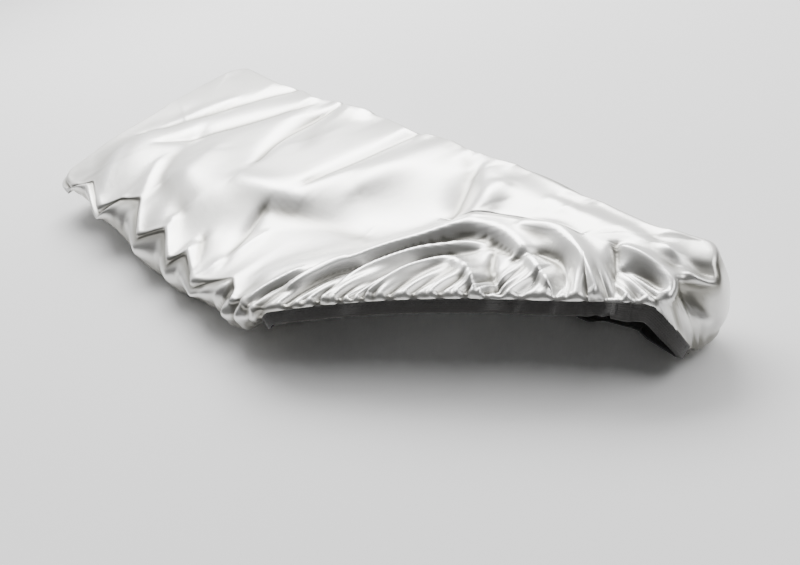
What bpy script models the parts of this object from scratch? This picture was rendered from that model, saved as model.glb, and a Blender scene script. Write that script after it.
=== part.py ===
"""A fitted dust cover for an electronic keyboard, with one front corner pulled back.

The cloth is a single stretch sheet, drawn over a long low instrument and gathered under it by
an elastic binding round the whole hem. The front right corner lies loose over the top, so the
binding shows along it. Everything is in metres, +X along the instrument, +Y to its back, +Z up,
with the origin under the middle of the top.
"""
import math
from collections import namedtuple
from types import SimpleNamespace

import bmesh
import bpy
import numpy as np
from mathutils import Vector

# The cover as fitted, in metres
LENGTH = 0.772
WIDTH = 0.258
CORNER_RADIUS = 0.026
TOP_RISE = 0.024
TOP_CROWN = 0.003
BOTTOM = -0.052
SHOULDER_RADIUS = 0.012
TURN_RADIUS = 0.010
TUCK = 0.040
WALL_BULGE = 0.004
CLOTH_THICKNESS = 0.0016

# The pulled back corner: where its edge leaves the front and where it reaches the right end
HEM_LEFT = (0.110, -0.129)
HEM_RIGHT = (0.388, 0.074)
LIFT_LEFT = 0.010
LIFT_MIDDLE = 0.0135
LIFT_RIGHT = -0.006
LIFT_REACH = 0.055
LIP_RADIUS = 0.005
LIP_DROP = 0.001
CLIMB_FRONT = 0.066
CLIMB_RIGHT = 0.040
BEND_LEAD = 0.014

# The line inside the top that the rows of the sheet start from
SPINE_LEFT = -0.262
SPINE_RIGHT = 0.285
SPINE_SWING = 0.080

# Gathers along the binding
SHORT_PITCH = 0.0098
LONG_PITCH = 0.025
GATHER_HEIGHT = 0.0026
PLEAT_HEIGHT = 0.0030

# The sheet's columns round the edge and its rows from the spine to the hem
COLUMNS = 960
TOP_ROW = 24
SHOULDER_ROW = 30
WALL_ROW = 40
TURN_ROW = 44
LAST_ROW = 50
OPEN_TOP_ROW = 44
OPEN_LIP_ROW = 49
ARC_STEPS = 24
WELD = 0.00005

# Where the hem bends into and out of the pulled back corner, which keeps finer faces
HEM_BENDS = ((0.101, -0.121, -0.012), (0.377, 0.064, -0.013))
BEND_REACH = 0.016
BEND_WEIGHT = 1.0
CLOTH_TRIANGLES = 4700

# The binding
BAND_WIDTH = 0.010
BAND_THICKNESS = 0.0022
SEAM_GAP = 0.0014
SMOOTHINGS = 3

SILVER = (0.76, 0.76, 0.75)
CHARCOAL = (0.045, 0.043, 0.042)

MM = 0.001

# A fold on the top runs from one plan point to another, bowed sideways. A positive height
# is a ridge, a negative one a trough. Sizes in millimetres.
Fold = namedtuple("Fold", "x0 y0 x1 y1 bow width height edge")
TOP_FOLDS = (
    Fold(-372, -92, -330, 20, 10, 40, -3.5, 2.0),
    Fold(-240, -128, -330, -20, 6, 34, 5.0, 1.8),
    Fold(-190, -100, -262, 10, 4, 22, -3.5, 1.8),
    Fold(-130, -110, -190, -10, 6, 30, 4.0, 1.8),
    Fold(-345, -30, -235, 128, -6, 12, -4.0, 1.5),
    Fold(-330, -6, -290, 70, -4, 12, 2.5, 1.8),
    Fold(-285, -30, -175, 108, -8, 13, -4.5, 1.5),
    Fold(-240, -138, -335, -60, 4, 12, 3.0, 1.5),
    Fold(-142, -134, -245, -50, 8, 13, 3.5, 1.5),
    Fold(-64, -136, -120, -96, 2, 10, 3.5, 1.5),
    Fold(-4, -138, -62, -104, 2, 9, 3.5, 1.5),
    Fold(-8, -132, 2, -56, -2, 10, 3.0, 1.6),
    Fold(4, -104, -30, -34, 4, 9, -3.5, 1.5),
    Fold(-62, -92, -22, -128, 2, 8, -3.0, 1.5),
    Fold(-112, 4, -134, 126, 16, 11, -6.0, 1.4),
    Fold(-150, 96, -92, 58, 0, 26, -4.0, 2.0),
    Fold(-155, 136, -75, 118, 0, 12, 4.0, 1.8),
    Fold(-16, 4, 14, 130, -6, 11, -4.0, 1.5),
    Fold(-104, -24, 4, -8, -4, 14, 3.0, 1.7),
    Fold(-30, -36, 100, -8, 4, 15, -3.0, 1.7),
    Fold(-196, -70, -120, -86, 0, 20, -3.5, 2.0),
    Fold(128, 104, 160, 46, 2, 14, -4.0, 1.7),
    Fold(176, 96, 182, 56, 0, 16, 3.5, 1.9),
    Fold(150, 136, 236, 66, 0, 20, -3.0, 2.0),
    Fold(60, 120, 40, 30, 4, 24, 3.0, 2.0),
    Fold(120, -20, 60, -96, 6, 18, 4.0, 2.0),
    Fold(352, 100, 392, 122, 0, 8, -2.5, 1.5),
)

# A long fold of the loose corner runs through five plan points. It falls off over one width on
# its back side and another on its front side, which is nearer the hem.
Drape = namedtuple("Drape", "x0 y0 x1 y1 x2 y2 x3 y3 x4 y4 back front height")
DRAPES = (
    Drape(121, -96, 136, -18, 176, 44, 232, 54, 306, 26, 13, 7, 8.5),
    Drape(143, -96, 142, -42, 158, 12, 198, 42, 250, 38, 5, 6, -6.5),
    Drape(160, -98, 157, -40, 171, 3, 196, 28, 222, 40, 6, 5, 6.5),
    Drape(182, -78, 176, -30, 183, 0, 197, 19, 218, 30, 5, 6, -6.5),
    Drape(192, -62, 194, -29, 208, 6, 238, 4, 270, -14, 7, 5, 6.5),
    Drape(232, 34, 244, 22, 258, 12, 272, 4, 286, -6, 5, 6, -6.0),
    Drape(230, 64, 262, 75, 300, 64, 330, 48, 354, 32, 10, 7, 7.5),
    Drape(256, 32, 270, 52, 290, 54, 308, 42, 320, 30, 6, 6, -6.0),
    Drape(314, 88, 325, 75, 336, 63, 346, 52, 358, 38, 6, 6, -6.5),
    Drape(318, 86, 343, 89, 366, 85, 384, 72, 392, 60, 9, 8, 7.0),
    Drape(334, 72, 346, 76, 356, 78, 366, 76, 374, 70, 7, 8, -5.0),
    Drape(340, 108, 362, 104, 380, 96, 390, 86, 396, 76, 8, 7, 5.0),
    Drape(112, -124, 113, -104, 117, -84, 121, -62, 128, -40, 6, 5, 5.0),
    Drape(99, -122, 100, -106, 104, -92, 108, -78, 112, -64, 4, 5, -5.0),
    Drape(88, -122, 90, -108, 94, -96, 98, -84, 100, -72, 5, 5, 4.5),
    Drape(132, -112, 131, -92, 132, -74, 136, -56, 142, -40, 5, 4, -5.0),
)
DRAPE_STEPS = 32
DRAPE_EDGE = 1.5

# How far the edge of the top stands out round the outline. Places are millimetres along the
# outline from the middle of the right end, with the clock where negative.
Turn = namedtuple("Turn", "place stand")
EDGE_TURNS = (
    Turn(-1000, 1), Turn(-960, 1), Turn(-920, 2), Turn(-890, -1), Turn(-862, 2), Turn(-812, -3),
    Turn(-761, 3), Turn(-744, -4), Turn(-648, 4), Turn(-622, -5), Turn(-577, 4), Turn(-561, -4),
    Turn(-537, 4), Turn(-526, -3), Turn(-482, 4), Turn(-472, -3), Turn(-440, 4), Turn(-428, -2),
    Turn(-400, 3), Turn(-380, 1),
    Turn(30, 1), Turn(66, 5), Turn(96, 6), Turn(116, 3), Turn(140, 3), Turn(190, 0), Turn(244, 3),
    Turn(276, -1), Turn(330, 3), Turn(366, -1), Turn(430, 0), Turn(470, 3), Turn(506, -2),
    Turn(556, 3), Turn(610, -1), Turn(664, 4), Turn(690, -3), Turn(738, 4), Turn(776, -2),
    Turn(840, 2), Turn(872, 4), Turn(900, -1), Turn(930, 2),
)

# How much higher than elsewhere the cloth turns under the instrument, at places as above
Under = namedtuple("Under", "place rise")
UNDER_LINE = (
    Under(-1000, 8), Under(-905, 15), Under(-838, 17), Under(-769, 13), Under(-692, 6),
    Under(-640, 1), Under(-560, 0), Under(-506, 6), Under(-467, 10), Under(-400, 14),
    Under(-60, 10), Under(0, 9), Under(60, 8), Under(120, 2), Under(160, 0), Under(860, 0),
    Under(940, 4),
)

# Creases over the edge of the top, from one place and depth down the cloth to another, in
# millimetres. Depth is measured along the cloth from where the top starts to turn down.
EDGE_CREASES = (
    Fold(-812, 0, -761, 16, 0, 8, 2.4, 1.3),
    Fold(-757, 20, -744, -4, 0, 8, -3.0, 1.5),
    Fold(-744, -2, -648, 16, 2, 10, 3.0, 1.3),
    Fold(-644, 22, -622, -8, 0, 9, -3.6, 1.5),
    Fold(-622, -2, -577, 16, 1, 8, 2.8, 1.3),
    Fold(-573, 22, -560, -6, 0, 8, -3.4, 1.5),
    Fold(-561, -2, -537, 20, 1, 7, 2.8, 1.3),
    Fold(-533, 24, -526, -6, 0, 6, -3.0, 1.5),
    Fold(-526, 0, -482, 16, 1, 7, 2.6, 1.3),
    Fold(-478, 20, -471, -6, 0, 6, -2.8, 1.5),
    Fold(-471, -2, -440, 16, 1, 7, 2.6, 1.3),
    Fold(-436, 22, -428, -8, 0, 5, -2.8, 1.5),
    Fold(-764, 16, -778, 48, 2, 10, 2.0, 1.6),
    Fold(-652, 18, -672, 52, 2, 12, 2.4, 1.6),
    Fold(-700, 14, -722, 50, -2, 14, -2.6, 1.7),
    Fold(-626, 20, -640, 52, 1, 9, -2.4, 1.6),
    Fold(-580, 18, -600, 54, 2, 9, 2.4, 1.6),
    Fold(-606, 14, -622, 50, -2, 8, -2.0, 1.6),
    Fold(-540, 20, -558, 54, 2, 8, 2.6, 1.6),
    Fold(-518, 16, -534, 50, 1, 8, -2.6, 1.6),
    Fold(-500, 14, -510, 46, 1, 6, 2.4, 1.5),
    Fold(-486, 18, -496, 46, 1, 6, -2.6, 1.5),
    Fold(-462, 10, -472, 42, 1, 6, 2.8, 1.5),
    Fold(-446, 14, -454, 40, 1, 5, -2.8, 1.5),
    Fold(40, 10, 52, 40, 3, 10, -4.0, 1.6),
    Fold(66, 0, 78, 34, 2, 9, 3.0, 1.6),
    Fold(12, 4, 0, 40, 2, 10, -3.0, 1.6),
    Fold(96, 20, 88, 48, 2, 12, -3.0, 1.7),
)
EDGE_SOFTNESS = 0.004


def mix(low, high, share):
    return low + (high - low) * share


def ease(share):
    share = np.clip(share, 0.0, 1.0)
    return share * share * (3.0 - 2.0 * share)


def unit(vectors):
    return vectors / np.linalg.norm(vectors, axis=-1, keepdims=True)


def outline(count):
    """Points, outward directions and distance round the plan, from the right end's middle."""
    xs = [np.array([LENGTH / 2])]
    ys = [np.array([0.0])]
    angles = [np.array([0.0])]
    for quarter, (side_x, side_y) in enumerate(((1, 1), (-1, 1), (-1, -1), (1, -1))):
        angle = np.radians(90.0 * quarter + np.linspace(0.0, 90.0, ARC_STEPS))
        xs.append(side_x * (LENGTH / 2 - CORNER_RADIUS) + CORNER_RADIUS * np.cos(angle))
        ys.append(side_y * (WIDTH / 2 - CORNER_RADIUS) + CORNER_RADIUS * np.sin(angle))
        angles.append(angle)
    xs.append(np.array([LENGTH / 2]))
    ys.append(np.array([0.0]))
    angles.append(np.array([math.tau]))
    x, y, angle = (np.concatenate(part) for part in (xs, ys, angles))
    run = np.concatenate(([0.0], np.cumsum(np.hypot(np.diff(x), np.diff(y)))))
    place = np.arange(count) / count * run[-1]
    angle = np.interp(place, run, angle)
    return SimpleNamespace(
        brim=np.stack([np.interp(place, run, x), np.interp(place, run, y)], 1),
        out=np.stack([np.cos(angle), np.sin(angle)], 1),
        around=np.where(place > run[-1] / 2, place - run[-1], place),
        total=run[-1])


def top_height(x, y):
    """Height of the taut top over a plan point."""
    across = np.clip(2.0 * y / WIDTH, -1.0, 1.0)
    along = np.clip(2.0 * x / LENGTH, -1.0, 1.0)
    crown = TOP_CROWN * (1.0 - across ** 2) * (1.0 - along ** 4)
    return TOP_RISE * y / WIDTH + crown


def fold_height(fold, x, y):
    """Height that one fold adds over a plan point."""
    start = np.array((fold.x0, fold.y0)) * MM
    run = np.array((fold.x1, fold.y1)) * MM - start
    length = math.hypot(*run)
    along = ((x - start[0]) * run[0] + (y - start[1]) * run[1]) / length ** 2
    side = ((y - start[1]) * run[0] - (x - start[0]) * run[1]) / length
    inside = np.clip(along, 0.0, 1.0)
    past = (along - inside) * length
    side = side - fold.bow * MM * 4.0 * inside * (1.0 - inside)
    taper = 0.45 + 0.55 * np.sqrt(np.sin(math.pi * inside))
    reach = np.hypot(side, past * 0.8) / (fold.width * MM * taper)
    return fold.height * MM * taper * np.exp(-reach ** fold.edge)


def drape_height(drape, x, y):
    """Height that one long fold of the loose corner adds over a plan point."""
    knots = np.array(drape[:10]).reshape(5, 2) * MM
    share = np.linspace(0.0, 4.0, DRAPE_STEPS + 1)
    course = np.stack([np.interp(share, range(5), knots[:, axis]) for axis in (0, 1)], 1)
    for _ in range(8):
        course[1:-1] = (course[:-2] + 2.0 * course[1:-1] + course[2:]) / 4.0
    nearest = np.full(np.shape(x), np.inf)
    along = np.zeros(np.shape(x))
    sign = np.zeros(np.shape(x))
    for step in range(DRAPE_STEPS):
        start = course[step]
        run = course[step + 1] - start
        inside = ((x - start[0]) * run[0] + (y - start[1]) * run[1]) / (run @ run)
        inside = np.clip(inside, 0.0, 1.0)
        off_x = x - start[0] - run[0] * inside
        off_y = y - start[1] - run[1] * inside
        distance = np.hypot(off_x, off_y)
        closer = distance < nearest
        nearest = np.where(closer, distance, nearest)
        along = np.where(closer, (step + inside) / DRAPE_STEPS, along)
        sign = np.where(closer, np.sign(off_y * run[0] - off_x * run[1]), sign)
    width = np.where(sign > 0.0, drape.back, drape.front) * MM
    taper = 0.3 + 0.7 * np.sqrt(np.sin(math.pi * along))
    return drape.height * MM * taper * np.exp(-(nearest / (width * taper)) ** DRAPE_EDGE)


def zigzag(plan):
    """How far the edge of the top stands out at each column."""
    turns = sorted(EDGE_TURNS)
    places = np.array([turn.place for turn in turns]) * MM
    stands = np.array([turn.stand for turn in turns]) * MM
    places = np.concatenate((places - plan.total, places, places + plan.total))
    stands = np.tile(stands, 3)
    offsets = np.linspace(-1.0, 1.0, 9) * EDGE_SOFTNESS
    return np.mean([np.interp(plan.around + offset, places, stands) for offset in offsets], 0)


def under_rise(plan):
    """How much higher than elsewhere each column turns under."""
    places = np.array([under.place for under in UNDER_LINE]) * MM
    rises = np.array([under.rise for under in UNDER_LINE]) * MM
    return np.interp(plan.around, places, rises, period=plan.total)


def uneven(place, total, seed):
    """A smooth uneven number about 0, within 1, that closes round the edge."""
    turn = math.tau * place / total
    value = (np.sin(7 * turn + seed) + np.sin(17 * turn + 2.3 * seed)
             + np.sin(31 * turn + 4.1 * seed) + np.sin(53 * turn + 0.7 * seed))
    return value / 4.0


def hem_course(plan):
    """Where the hem cuts each column, and how far each column is wrapped under."""
    left = np.array(HEM_LEFT)
    chord = np.array(HEM_RIGHT) - left
    length = math.hypot(*chord)
    chord = chord / length
    forward = np.array((chord[1], -chord[0]))
    spine_x = np.clip(plan.brim[:, 0], SPINE_LEFT, SPINE_RIGHT)
    spine = np.stack([spine_x, SPINE_SWING * ease(spine_x / SPINE_RIGHT)], 1)
    lip_edge = plan.brim - plan.out * LIP_RADIUS
    behind = (spine - left) @ forward + LIP_RADIUS
    beyond = (lip_edge - left) @ forward + LIP_RADIUS
    is_open = (beyond > 0.0) & (plan.brim[:, 0] > 0.0)
    cut = np.where(is_open, -behind / np.where(is_open, beyond - behind, 1.0), 1.0)
    first = plan.around[is_open].min() + BEND_LEAD
    last = plan.around[is_open].max() - BEND_LEAD
    from_front = np.clip((first - plan.around) / CLIMB_FRONT, 0.0, 1.0)
    from_right = np.clip((plan.around - last) / CLIMB_RIGHT, 0.0, 1.0)
    walled = ease(np.maximum(from_front / 0.9, from_right / 0.8))
    tucked = ease(np.maximum((from_front - 0.05) / 0.7, (from_right - 0.5) / 0.5))
    return SimpleNamespace(
        left=left, chord=chord, length=length, forward=forward, spine=spine, cut=cut,
        wrapped=np.maximum(from_front, from_right), walled=walled, tucked=tucked)


def row_shares(walled):
    """Share of each run that each row has covered: top, shoulder, wall, turn and tuck."""
    row = np.arange(LAST_ROW + 1)[None, :]
    marks = [np.zeros(COLUMNS)]
    for closed, opened in ((TOP_ROW, OPEN_TOP_ROW), (SHOULDER_ROW, OPEN_LIP_ROW),
                           (WALL_ROW, LAST_ROW - 0.6), (TURN_ROW, LAST_ROW - 0.3)):
        marks.append(mix(opened, closed, walled))
    marks.append(np.full(COLUMNS, float(LAST_ROW)))
    shares = []
    for start, end in zip(marks[:-1], marks[1:]):
        shares.append(np.clip((row - start[:, None]) / (end - start)[:, None], 0.0, 1.0))
    shares[0] = 1.0 - (1.0 - shares[0]) ** mix(1.0, 1.5, 1.0 - walled)[:, None]
    return shares


def smooth_cover(plan, hem):
    """The cover without folds: places, heights, the way each point faces, and runs left."""
    shoulder = mix(LIP_RADIUS, SHOULDER_RADIUS, hem.walled)
    turn = mix(0.0004, TURN_RADIUS, hem.tucked)
    edge = plan.brim - plan.out * shoulder[:, None]
    down = top_height(edge[:, 0], edge[:, 1]) - shoulder - turn - BOTTOM - under_rise(plan)
    wall = mix(LIP_DROP, np.maximum(down, LIP_DROP), hem.walled)
    tuck = mix(0.0002, TUCK, hem.tucked)
    curl = math.pi / 2 * ease(hem.tucked * 5.0)[:, None]
    on_top, on_shoulder, on_wall, on_turn, on_tuck = row_shares(hem.walled)
    lean = on_shoulder * math.pi / 2
    roll = on_turn * curl
    out = unit(mix(hem.forward[None, :], plan.out, hem.walled[:, None]))
    inward = unit(hem.spine - edge)
    level = hem.spine + (edge - hem.spine) * hem.cut[:, None]
    top = hem.spine[:, None, :] + (level - hem.spine)[:, None, :] * on_top[..., None]
    sideways = shoulder[:, None] * np.sin(lean) - turn[:, None] * (1.0 - np.cos(roll))
    under = tuck[:, None] * on_tuck
    place = (top + out[:, None, :] * sideways[..., None]
             + inward[:, None, :] * (under * np.sin(curl))[..., None])
    drop = (shoulder[:, None] * (1.0 - np.cos(lean)) + wall[:, None] * on_wall
            + turn[:, None] * np.sin(roll) + under * np.cos(curl))
    tilt = lean + roll
    return SimpleNamespace(
        top=top, on_top=on_top, place=place, height=top_height(top[..., 0], top[..., 1]) - drop,
        facing=np.concatenate([out[:, None, :] * np.sin(tilt)[..., None],
                               np.cos(tilt)[..., None]], 2),
        on_shoulder=on_shoulder, on_wall=on_wall, on_turn=on_turn,
        top_left=np.linalg.norm(top - level[:, None, :], axis=2),
        run_left=(np.linalg.norm(top - level[:, None, :], axis=2)
                  + (1.0 - on_shoulder) * shoulder[:, None] * math.pi / 2
                  + (1.0 - on_wall) * wall[:, None]
                  + (1.0 - on_turn) * turn[:, None] * math.pi / 2
                  + (1.0 - on_tuck) * tuck[:, None]),
        lean=lean,
        depth=(on_shoulder * shoulder[:, None] * math.pi / 2 + on_wall * wall[:, None]
               + on_turn * turn[:, None] * math.pi / 2
               - np.linalg.norm(top - level[:, None, :], axis=2)))


def corner_lift(cover, hem):
    """The loose corner stands above the taut top."""
    away = np.maximum(-(cover.top - hem.left) @ hem.forward - LIP_RADIUS, 0.0)
    share = (cover.top - hem.left) @ hem.chord / hem.length
    inside = np.clip(share, 0.0, 1.0)
    lift = (LIFT_LEFT * (1.0 - inside) * (1.0 - 2.0 * inside)
            + LIFT_MIDDLE * 4.0 * inside * (1.0 - inside)
            + LIFT_RIGHT * inside * (2.0 * inside - 1.0))
    lift = lift * ease((share + 0.35) / 0.4) * ease((1.4 - share) / 0.3)
    return lift * np.exp(-(away / LIFT_REACH) ** 2)


def gathers(cover, hem):
    """Short puckers at the open corner's binding, wider pleats elsewhere."""
    line = cover.place[:, -1, :]
    step = np.linalg.norm(np.roll(line, -1, axis=0) - line, axis=1)
    run = np.concatenate(([0.0], np.cumsum(step)[:-1]))
    total = step.sum()
    pitch = mix(SHORT_PITCH, LONG_PITCH, ease(hem.wrapped))
    pitch = pitch * (1.0 + 0.35 * uneven(run, total, 1.9))
    phase = np.concatenate(([0.0], np.cumsum(step / pitch)))
    phase = phase[:-1] * round(phase[-1]) / phase[-1] * math.tau
    swell = 1.0 + 0.5 * uneven(run, total, 0.4)
    near = mix(0.010, 0.020, hem.wrapped) * (1.0 + 0.7 * uneven(run, total, 3.3))
    left = cover.run_left
    reach = (1.0 - np.exp(-left / 0.0016)) * np.exp(-(left / near[:, None]) ** 1.5)
    wide_reach = left / 0.020 * np.exp(1.0 - left / 0.020)
    pinch = np.abs(np.sin(phase / 2.0)) ** 0.7 - 0.62
    short = 2.0 * mix(GATHER_HEIGHT, PLEAT_HEIGHT, hem.wrapped) * swell * pinch
    wide = 0.7 * GATHER_HEIGHT * np.sin(phase * 0.5 + 1.2) * (1.0 - hem.wrapped)
    puckers = short[:, None] * reach + wide[:, None] * wide_reach
    return puckers * ease(cover.on_top * 2.0 - 0.8)


def cloth_points():
    """The cloth's outer face as columns by rows of points."""
    plan = outline(COLUMNS)
    hem = hem_course(plan)
    cover = smooth_cover(plan, hem)
    height = cover.height + corner_lift(cover, hem)
    folds = np.zeros_like(height)
    for fold in TOP_FOLDS:
        folds += fold_height(fold, cover.top[..., 0], cover.top[..., 1])
    for drape in DRAPES:
        folds += drape_height(drape, cover.top[..., 0], cover.top[..., 1])
    folds *= np.cos(cover.lean) ** 0.5 * (1.0 - cover.on_wall) * ease(cover.run_left / 0.016)
    edge_reach = np.exp(-(cover.top_left / 0.026) ** 2) * (1.0 - 0.8 * cover.on_wall)
    edge = zigzag(plan)[:, None] * edge_reach * (1.0 - cover.on_turn) * hem.walled[:, None]
    creases = np.zeros_like(height)
    for fold in EDGE_CREASES:
        creases += fold_height(fold, plan.around[:, None], cover.depth)
    creases *= hem.walled[:, None] * (1.0 - cover.on_turn)
    bulge = WALL_BULGE * np.sin(math.pi * cover.on_wall) * hem.walled[:, None]
    row = np.arange(LAST_ROW + 1)[None, :]
    stand = folds + bulge + (edge + creases + gathers(cover, hem)) * ease(row / 5.0)
    points = np.concatenate([cover.place, height[..., None]], 2)
    return points + cover.facing * stand[..., None]


def material(name, colour, metallic, roughness):
    finish = bpy.data.materials.new(name)
    finish.use_nodes = True
    shader = finish.node_tree.nodes["Principled BSDF"]
    shader.inputs["Base Color"].default_value = (*colour, 1.0)
    shader.inputs["Metallic"].default_value = metallic
    shader.inputs["Roughness"].default_value = roughness
    return finish


def laid_sheet():
    """A mesh on the cloth's points, closed round the edge and open at the hem."""
    points = cloth_points()
    shell = bmesh.new()
    bmesh.ops.create_grid(shell, x_segments=COLUMNS, y_segments=LAST_ROW, size=0.5)
    for vert in shell.verts:
        column = round((vert.co.x + 0.5) * COLUMNS) % COLUMNS
        vert.co = points[column, round((vert.co.y + 0.5) * LAST_ROW)]
    bmesh.ops.remove_doubles(shell, verts=shell.verts[:], dist=WELD)
    bmesh.ops.dissolve_degenerate(shell, edges=shell.edges[:], dist=WELD)
    bmesh.ops.recalc_face_normals(shell, faces=shell.faces[:])
    sheet = bpy.data.meshes.new("cloth_sheet")
    shell.to_mesh(sheet)
    shell.free()
    return sheet


def cloth_sheet():
    """The cloth's outer face with fewer faces where it is smooth."""
    sheet = laid_sheet()
    guide = bpy.data.objects.new("cloth_sheet", sheet)
    bpy.context.scene.collection.objects.link(guide)
    kept = guide.vertex_groups.new(name="hem bends")
    for vert in sheet.vertices:
        if min((vert.co - Vector(bend)).length for bend in HEM_BENDS) < BEND_REACH:
            kept.add([vert.index], 1.0, "REPLACE")
    thin = guide.modifiers.new("fewer faces", "DECIMATE")
    thin.vertex_group = kept.name
    thin.invert_vertex_group = True
    thin.vertex_group_factor = BEND_WEIGHT
    thin.ratio = CLOTH_TRIANGLES / (2.0 * len(sheet.polygons))
    thin.use_collapse_triangulate = True
    evaluated = guide.evaluated_get(bpy.context.evaluated_depsgraph_get())
    coarse = bpy.data.meshes.new_from_object(evaluated)
    coarse.name = "cover_cloth"
    bpy.data.objects.remove(guide)
    return coarse


def hem_loop(source):
    """The vertices of the hem in order."""
    rim = next(edge for edge in source.edges if edge.is_boundary)
    loop = [rim.verts[0], rim.verts[1]]
    while True:
        onward = [edge.other_vert(loop[-1]) for edge in loop[-1].link_edges if edge.is_boundary]
        step = onward[0] if onward[0] != loop[-2] else onward[1]
        if step == loop[0]:
            return loop
        loop.append(step)


def hem_directions(loop):
    """At each hem vertex the way along the hem and the way out of the cloth's edge."""
    tangents = []
    aways = []
    facing = 0.0
    for index, vert in enumerate(loop):
        tangent = (loop[(index + 1) % len(loop)].co - loop[index - 1].co).normalized()
        inward = sum((face.calc_center_median() for face in vert.link_faces), Vector())
        inward = inward / len(vert.link_faces) - vert.co
        away = tangent.cross(vert.normal).normalized()
        facing += away.dot(inward.normalized())
        tangents.append(tangent)
        aways.append(away)
    if facing > 0.0:
        aways = [-away for away in aways]
    return tangents, aways


def binding_sheet(cloth):
    """The middle face of the binding, which carries on from the hem all round."""
    source = bmesh.new()
    source.from_mesh(cloth)
    source.normal_update()
    loop = hem_loop(source)
    tangents, aways = hem_directions(loop)
    smooth = np.array(aways)
    for _ in range(SMOOTHINGS):
        smooth = (np.roll(smooth, 1, axis=0) + 2.0 * smooth + np.roll(smooth, -1, axis=0)) / 4.0
    band = bmesh.new()
    upper = []
    lower = []
    for vert, tangent, away, level in zip(loop, tangents, aways, smooth):
        level = Vector(level)
        level = (level - tangent * level.dot(tangent)).normalized()
        start = vert.co + away * SEAM_GAP - vert.normal * CLOTH_THICKNESS / 2
        upper.append(band.verts.new(start))
        lower.append(band.verts.new(start + level * BAND_WIDTH))
    for index in range(len(loop)):
        following = (index + 1) % len(loop)
        band.faces.new((upper[index], lower[index], lower[following], upper[following]))
    bmesh.ops.recalc_face_normals(band, faces=band.faces[:])
    sheet = bpy.data.meshes.new("elastic_binding")
    band.to_mesh(sheet)
    band.free()
    source.free()
    return sheet


def thicken(sheet, name, thickness, offset, finish, collection):
    part = bpy.data.objects.new(name, sheet)
    collection.objects.link(part)
    wall = part.modifiers.new("thickness", "SOLIDIFY")
    wall.thickness = thickness
    wall.offset = offset
    sheet.materials.clear()
    sheet.materials.append(finish)
    return part


def build():
    for old in list(bpy.data.objects):
        bpy.data.objects.remove(old)
    collection = bpy.data.collections.new("keyboard_dust_cover")
    bpy.context.scene.collection.children.link(collection)
    cloth = cloth_sheet()
    binding = binding_sheet(cloth)
    thicken(cloth, "cover_cloth", CLOTH_THICKNESS, -1.0,
            material("silver_cloth", SILVER, 0.55, 0.38), collection)
    thicken(binding, "elastic_binding", BAND_THICKNESS, 0.0,
            material("charcoal_elastic", CHARCOAL, 0.0, 0.75), collection)


build()
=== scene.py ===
"""The looks of a fitted dust cover: silver coated stretch cloth on its folds, with a gathered
hem in a charcoal elastic binding, on a pale floor under soft studio light."""
import math
from collections import namedtuple
from types import SimpleNamespace

import bmesh
import bpy
import numpy as np
from mathutils import Matrix, Vector


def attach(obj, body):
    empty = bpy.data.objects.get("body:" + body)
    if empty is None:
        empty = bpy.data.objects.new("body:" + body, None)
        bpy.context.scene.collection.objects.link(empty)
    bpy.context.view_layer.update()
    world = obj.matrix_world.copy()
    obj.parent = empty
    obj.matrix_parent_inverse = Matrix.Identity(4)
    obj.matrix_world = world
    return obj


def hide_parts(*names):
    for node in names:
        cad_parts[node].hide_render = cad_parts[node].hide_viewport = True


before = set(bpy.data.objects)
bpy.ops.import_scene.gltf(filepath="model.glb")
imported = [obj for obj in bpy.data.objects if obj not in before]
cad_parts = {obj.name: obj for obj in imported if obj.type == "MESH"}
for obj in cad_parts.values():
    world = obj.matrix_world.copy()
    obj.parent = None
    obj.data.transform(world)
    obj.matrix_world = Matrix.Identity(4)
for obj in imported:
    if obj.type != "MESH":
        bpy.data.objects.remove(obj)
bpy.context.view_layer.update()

# The cover as fitted, in metres
LENGTH = 0.772
WIDTH = 0.258
CORNER_RADIUS = 0.026
TOP_RISE = 0.024
TOP_CROWN = 0.003
BOTTOM = -0.052
SHOULDER_RADIUS = 0.006
TURN_RADIUS = 0.010
TURN_LEAST = 0.0004
TUCK = 0.040
TUCK_LEAST = 0.0002
WALL_BULGE = 0.007
CLOTH_THICKNESS = 0.0012

# The top rises further towards its back edge, from a line that lies nearer the front at the left
# than at the right. Along the back edge it swells twice and falls off towards the right end.
Swell = namedtuple("Swell", "height place reach")
BACK_RISE = 0.010
BACK_SWELLS = (Swell(0.007, 0.06, 0.20), Swell(0.0052, 0.200, 0.060))
BACK_FALL = Swell(0.0040, 0.300, 0.080)
BACK_DEEP = 0.09
BACK_LINE_LEFT = -0.129
BACK_LINE_RIGHT = 0.015
BACK_LINE_SWING = 0.15

# Where the edge of the top droops: how far in from the edge, how suddenly that ends, and the
# most of the wall's height that it takes
DROOP_REACH = 0.030
DROOP_FALL = 1.5
DROOP_MOST = 0.6

# The pulled back corner: where its edge leaves the front and where it reaches the right end
HEM_LEFT = (0.110, -0.129)
HEM_RIGHT = (0.388, 0.074)
LIP_RADIUS = 0.005
LIP_DROP = 0.001

# How high the corner stands over the taut top, at places along its edge. The lift grows from
# before the edge's left end and ends past its right end, in shares of its length.
LIFT_LEFT = 0.010
LIFT_MIDDLE = 0.0135
LIFT_RIGHT = -0.006
LIFT_REACH = 0.055
LIFT_FROM = -0.35
LIFT_GROWS_OVER = 0.4
LIFT_TO = 1.4
LIFT_ENDS_OVER = 0.3

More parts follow.
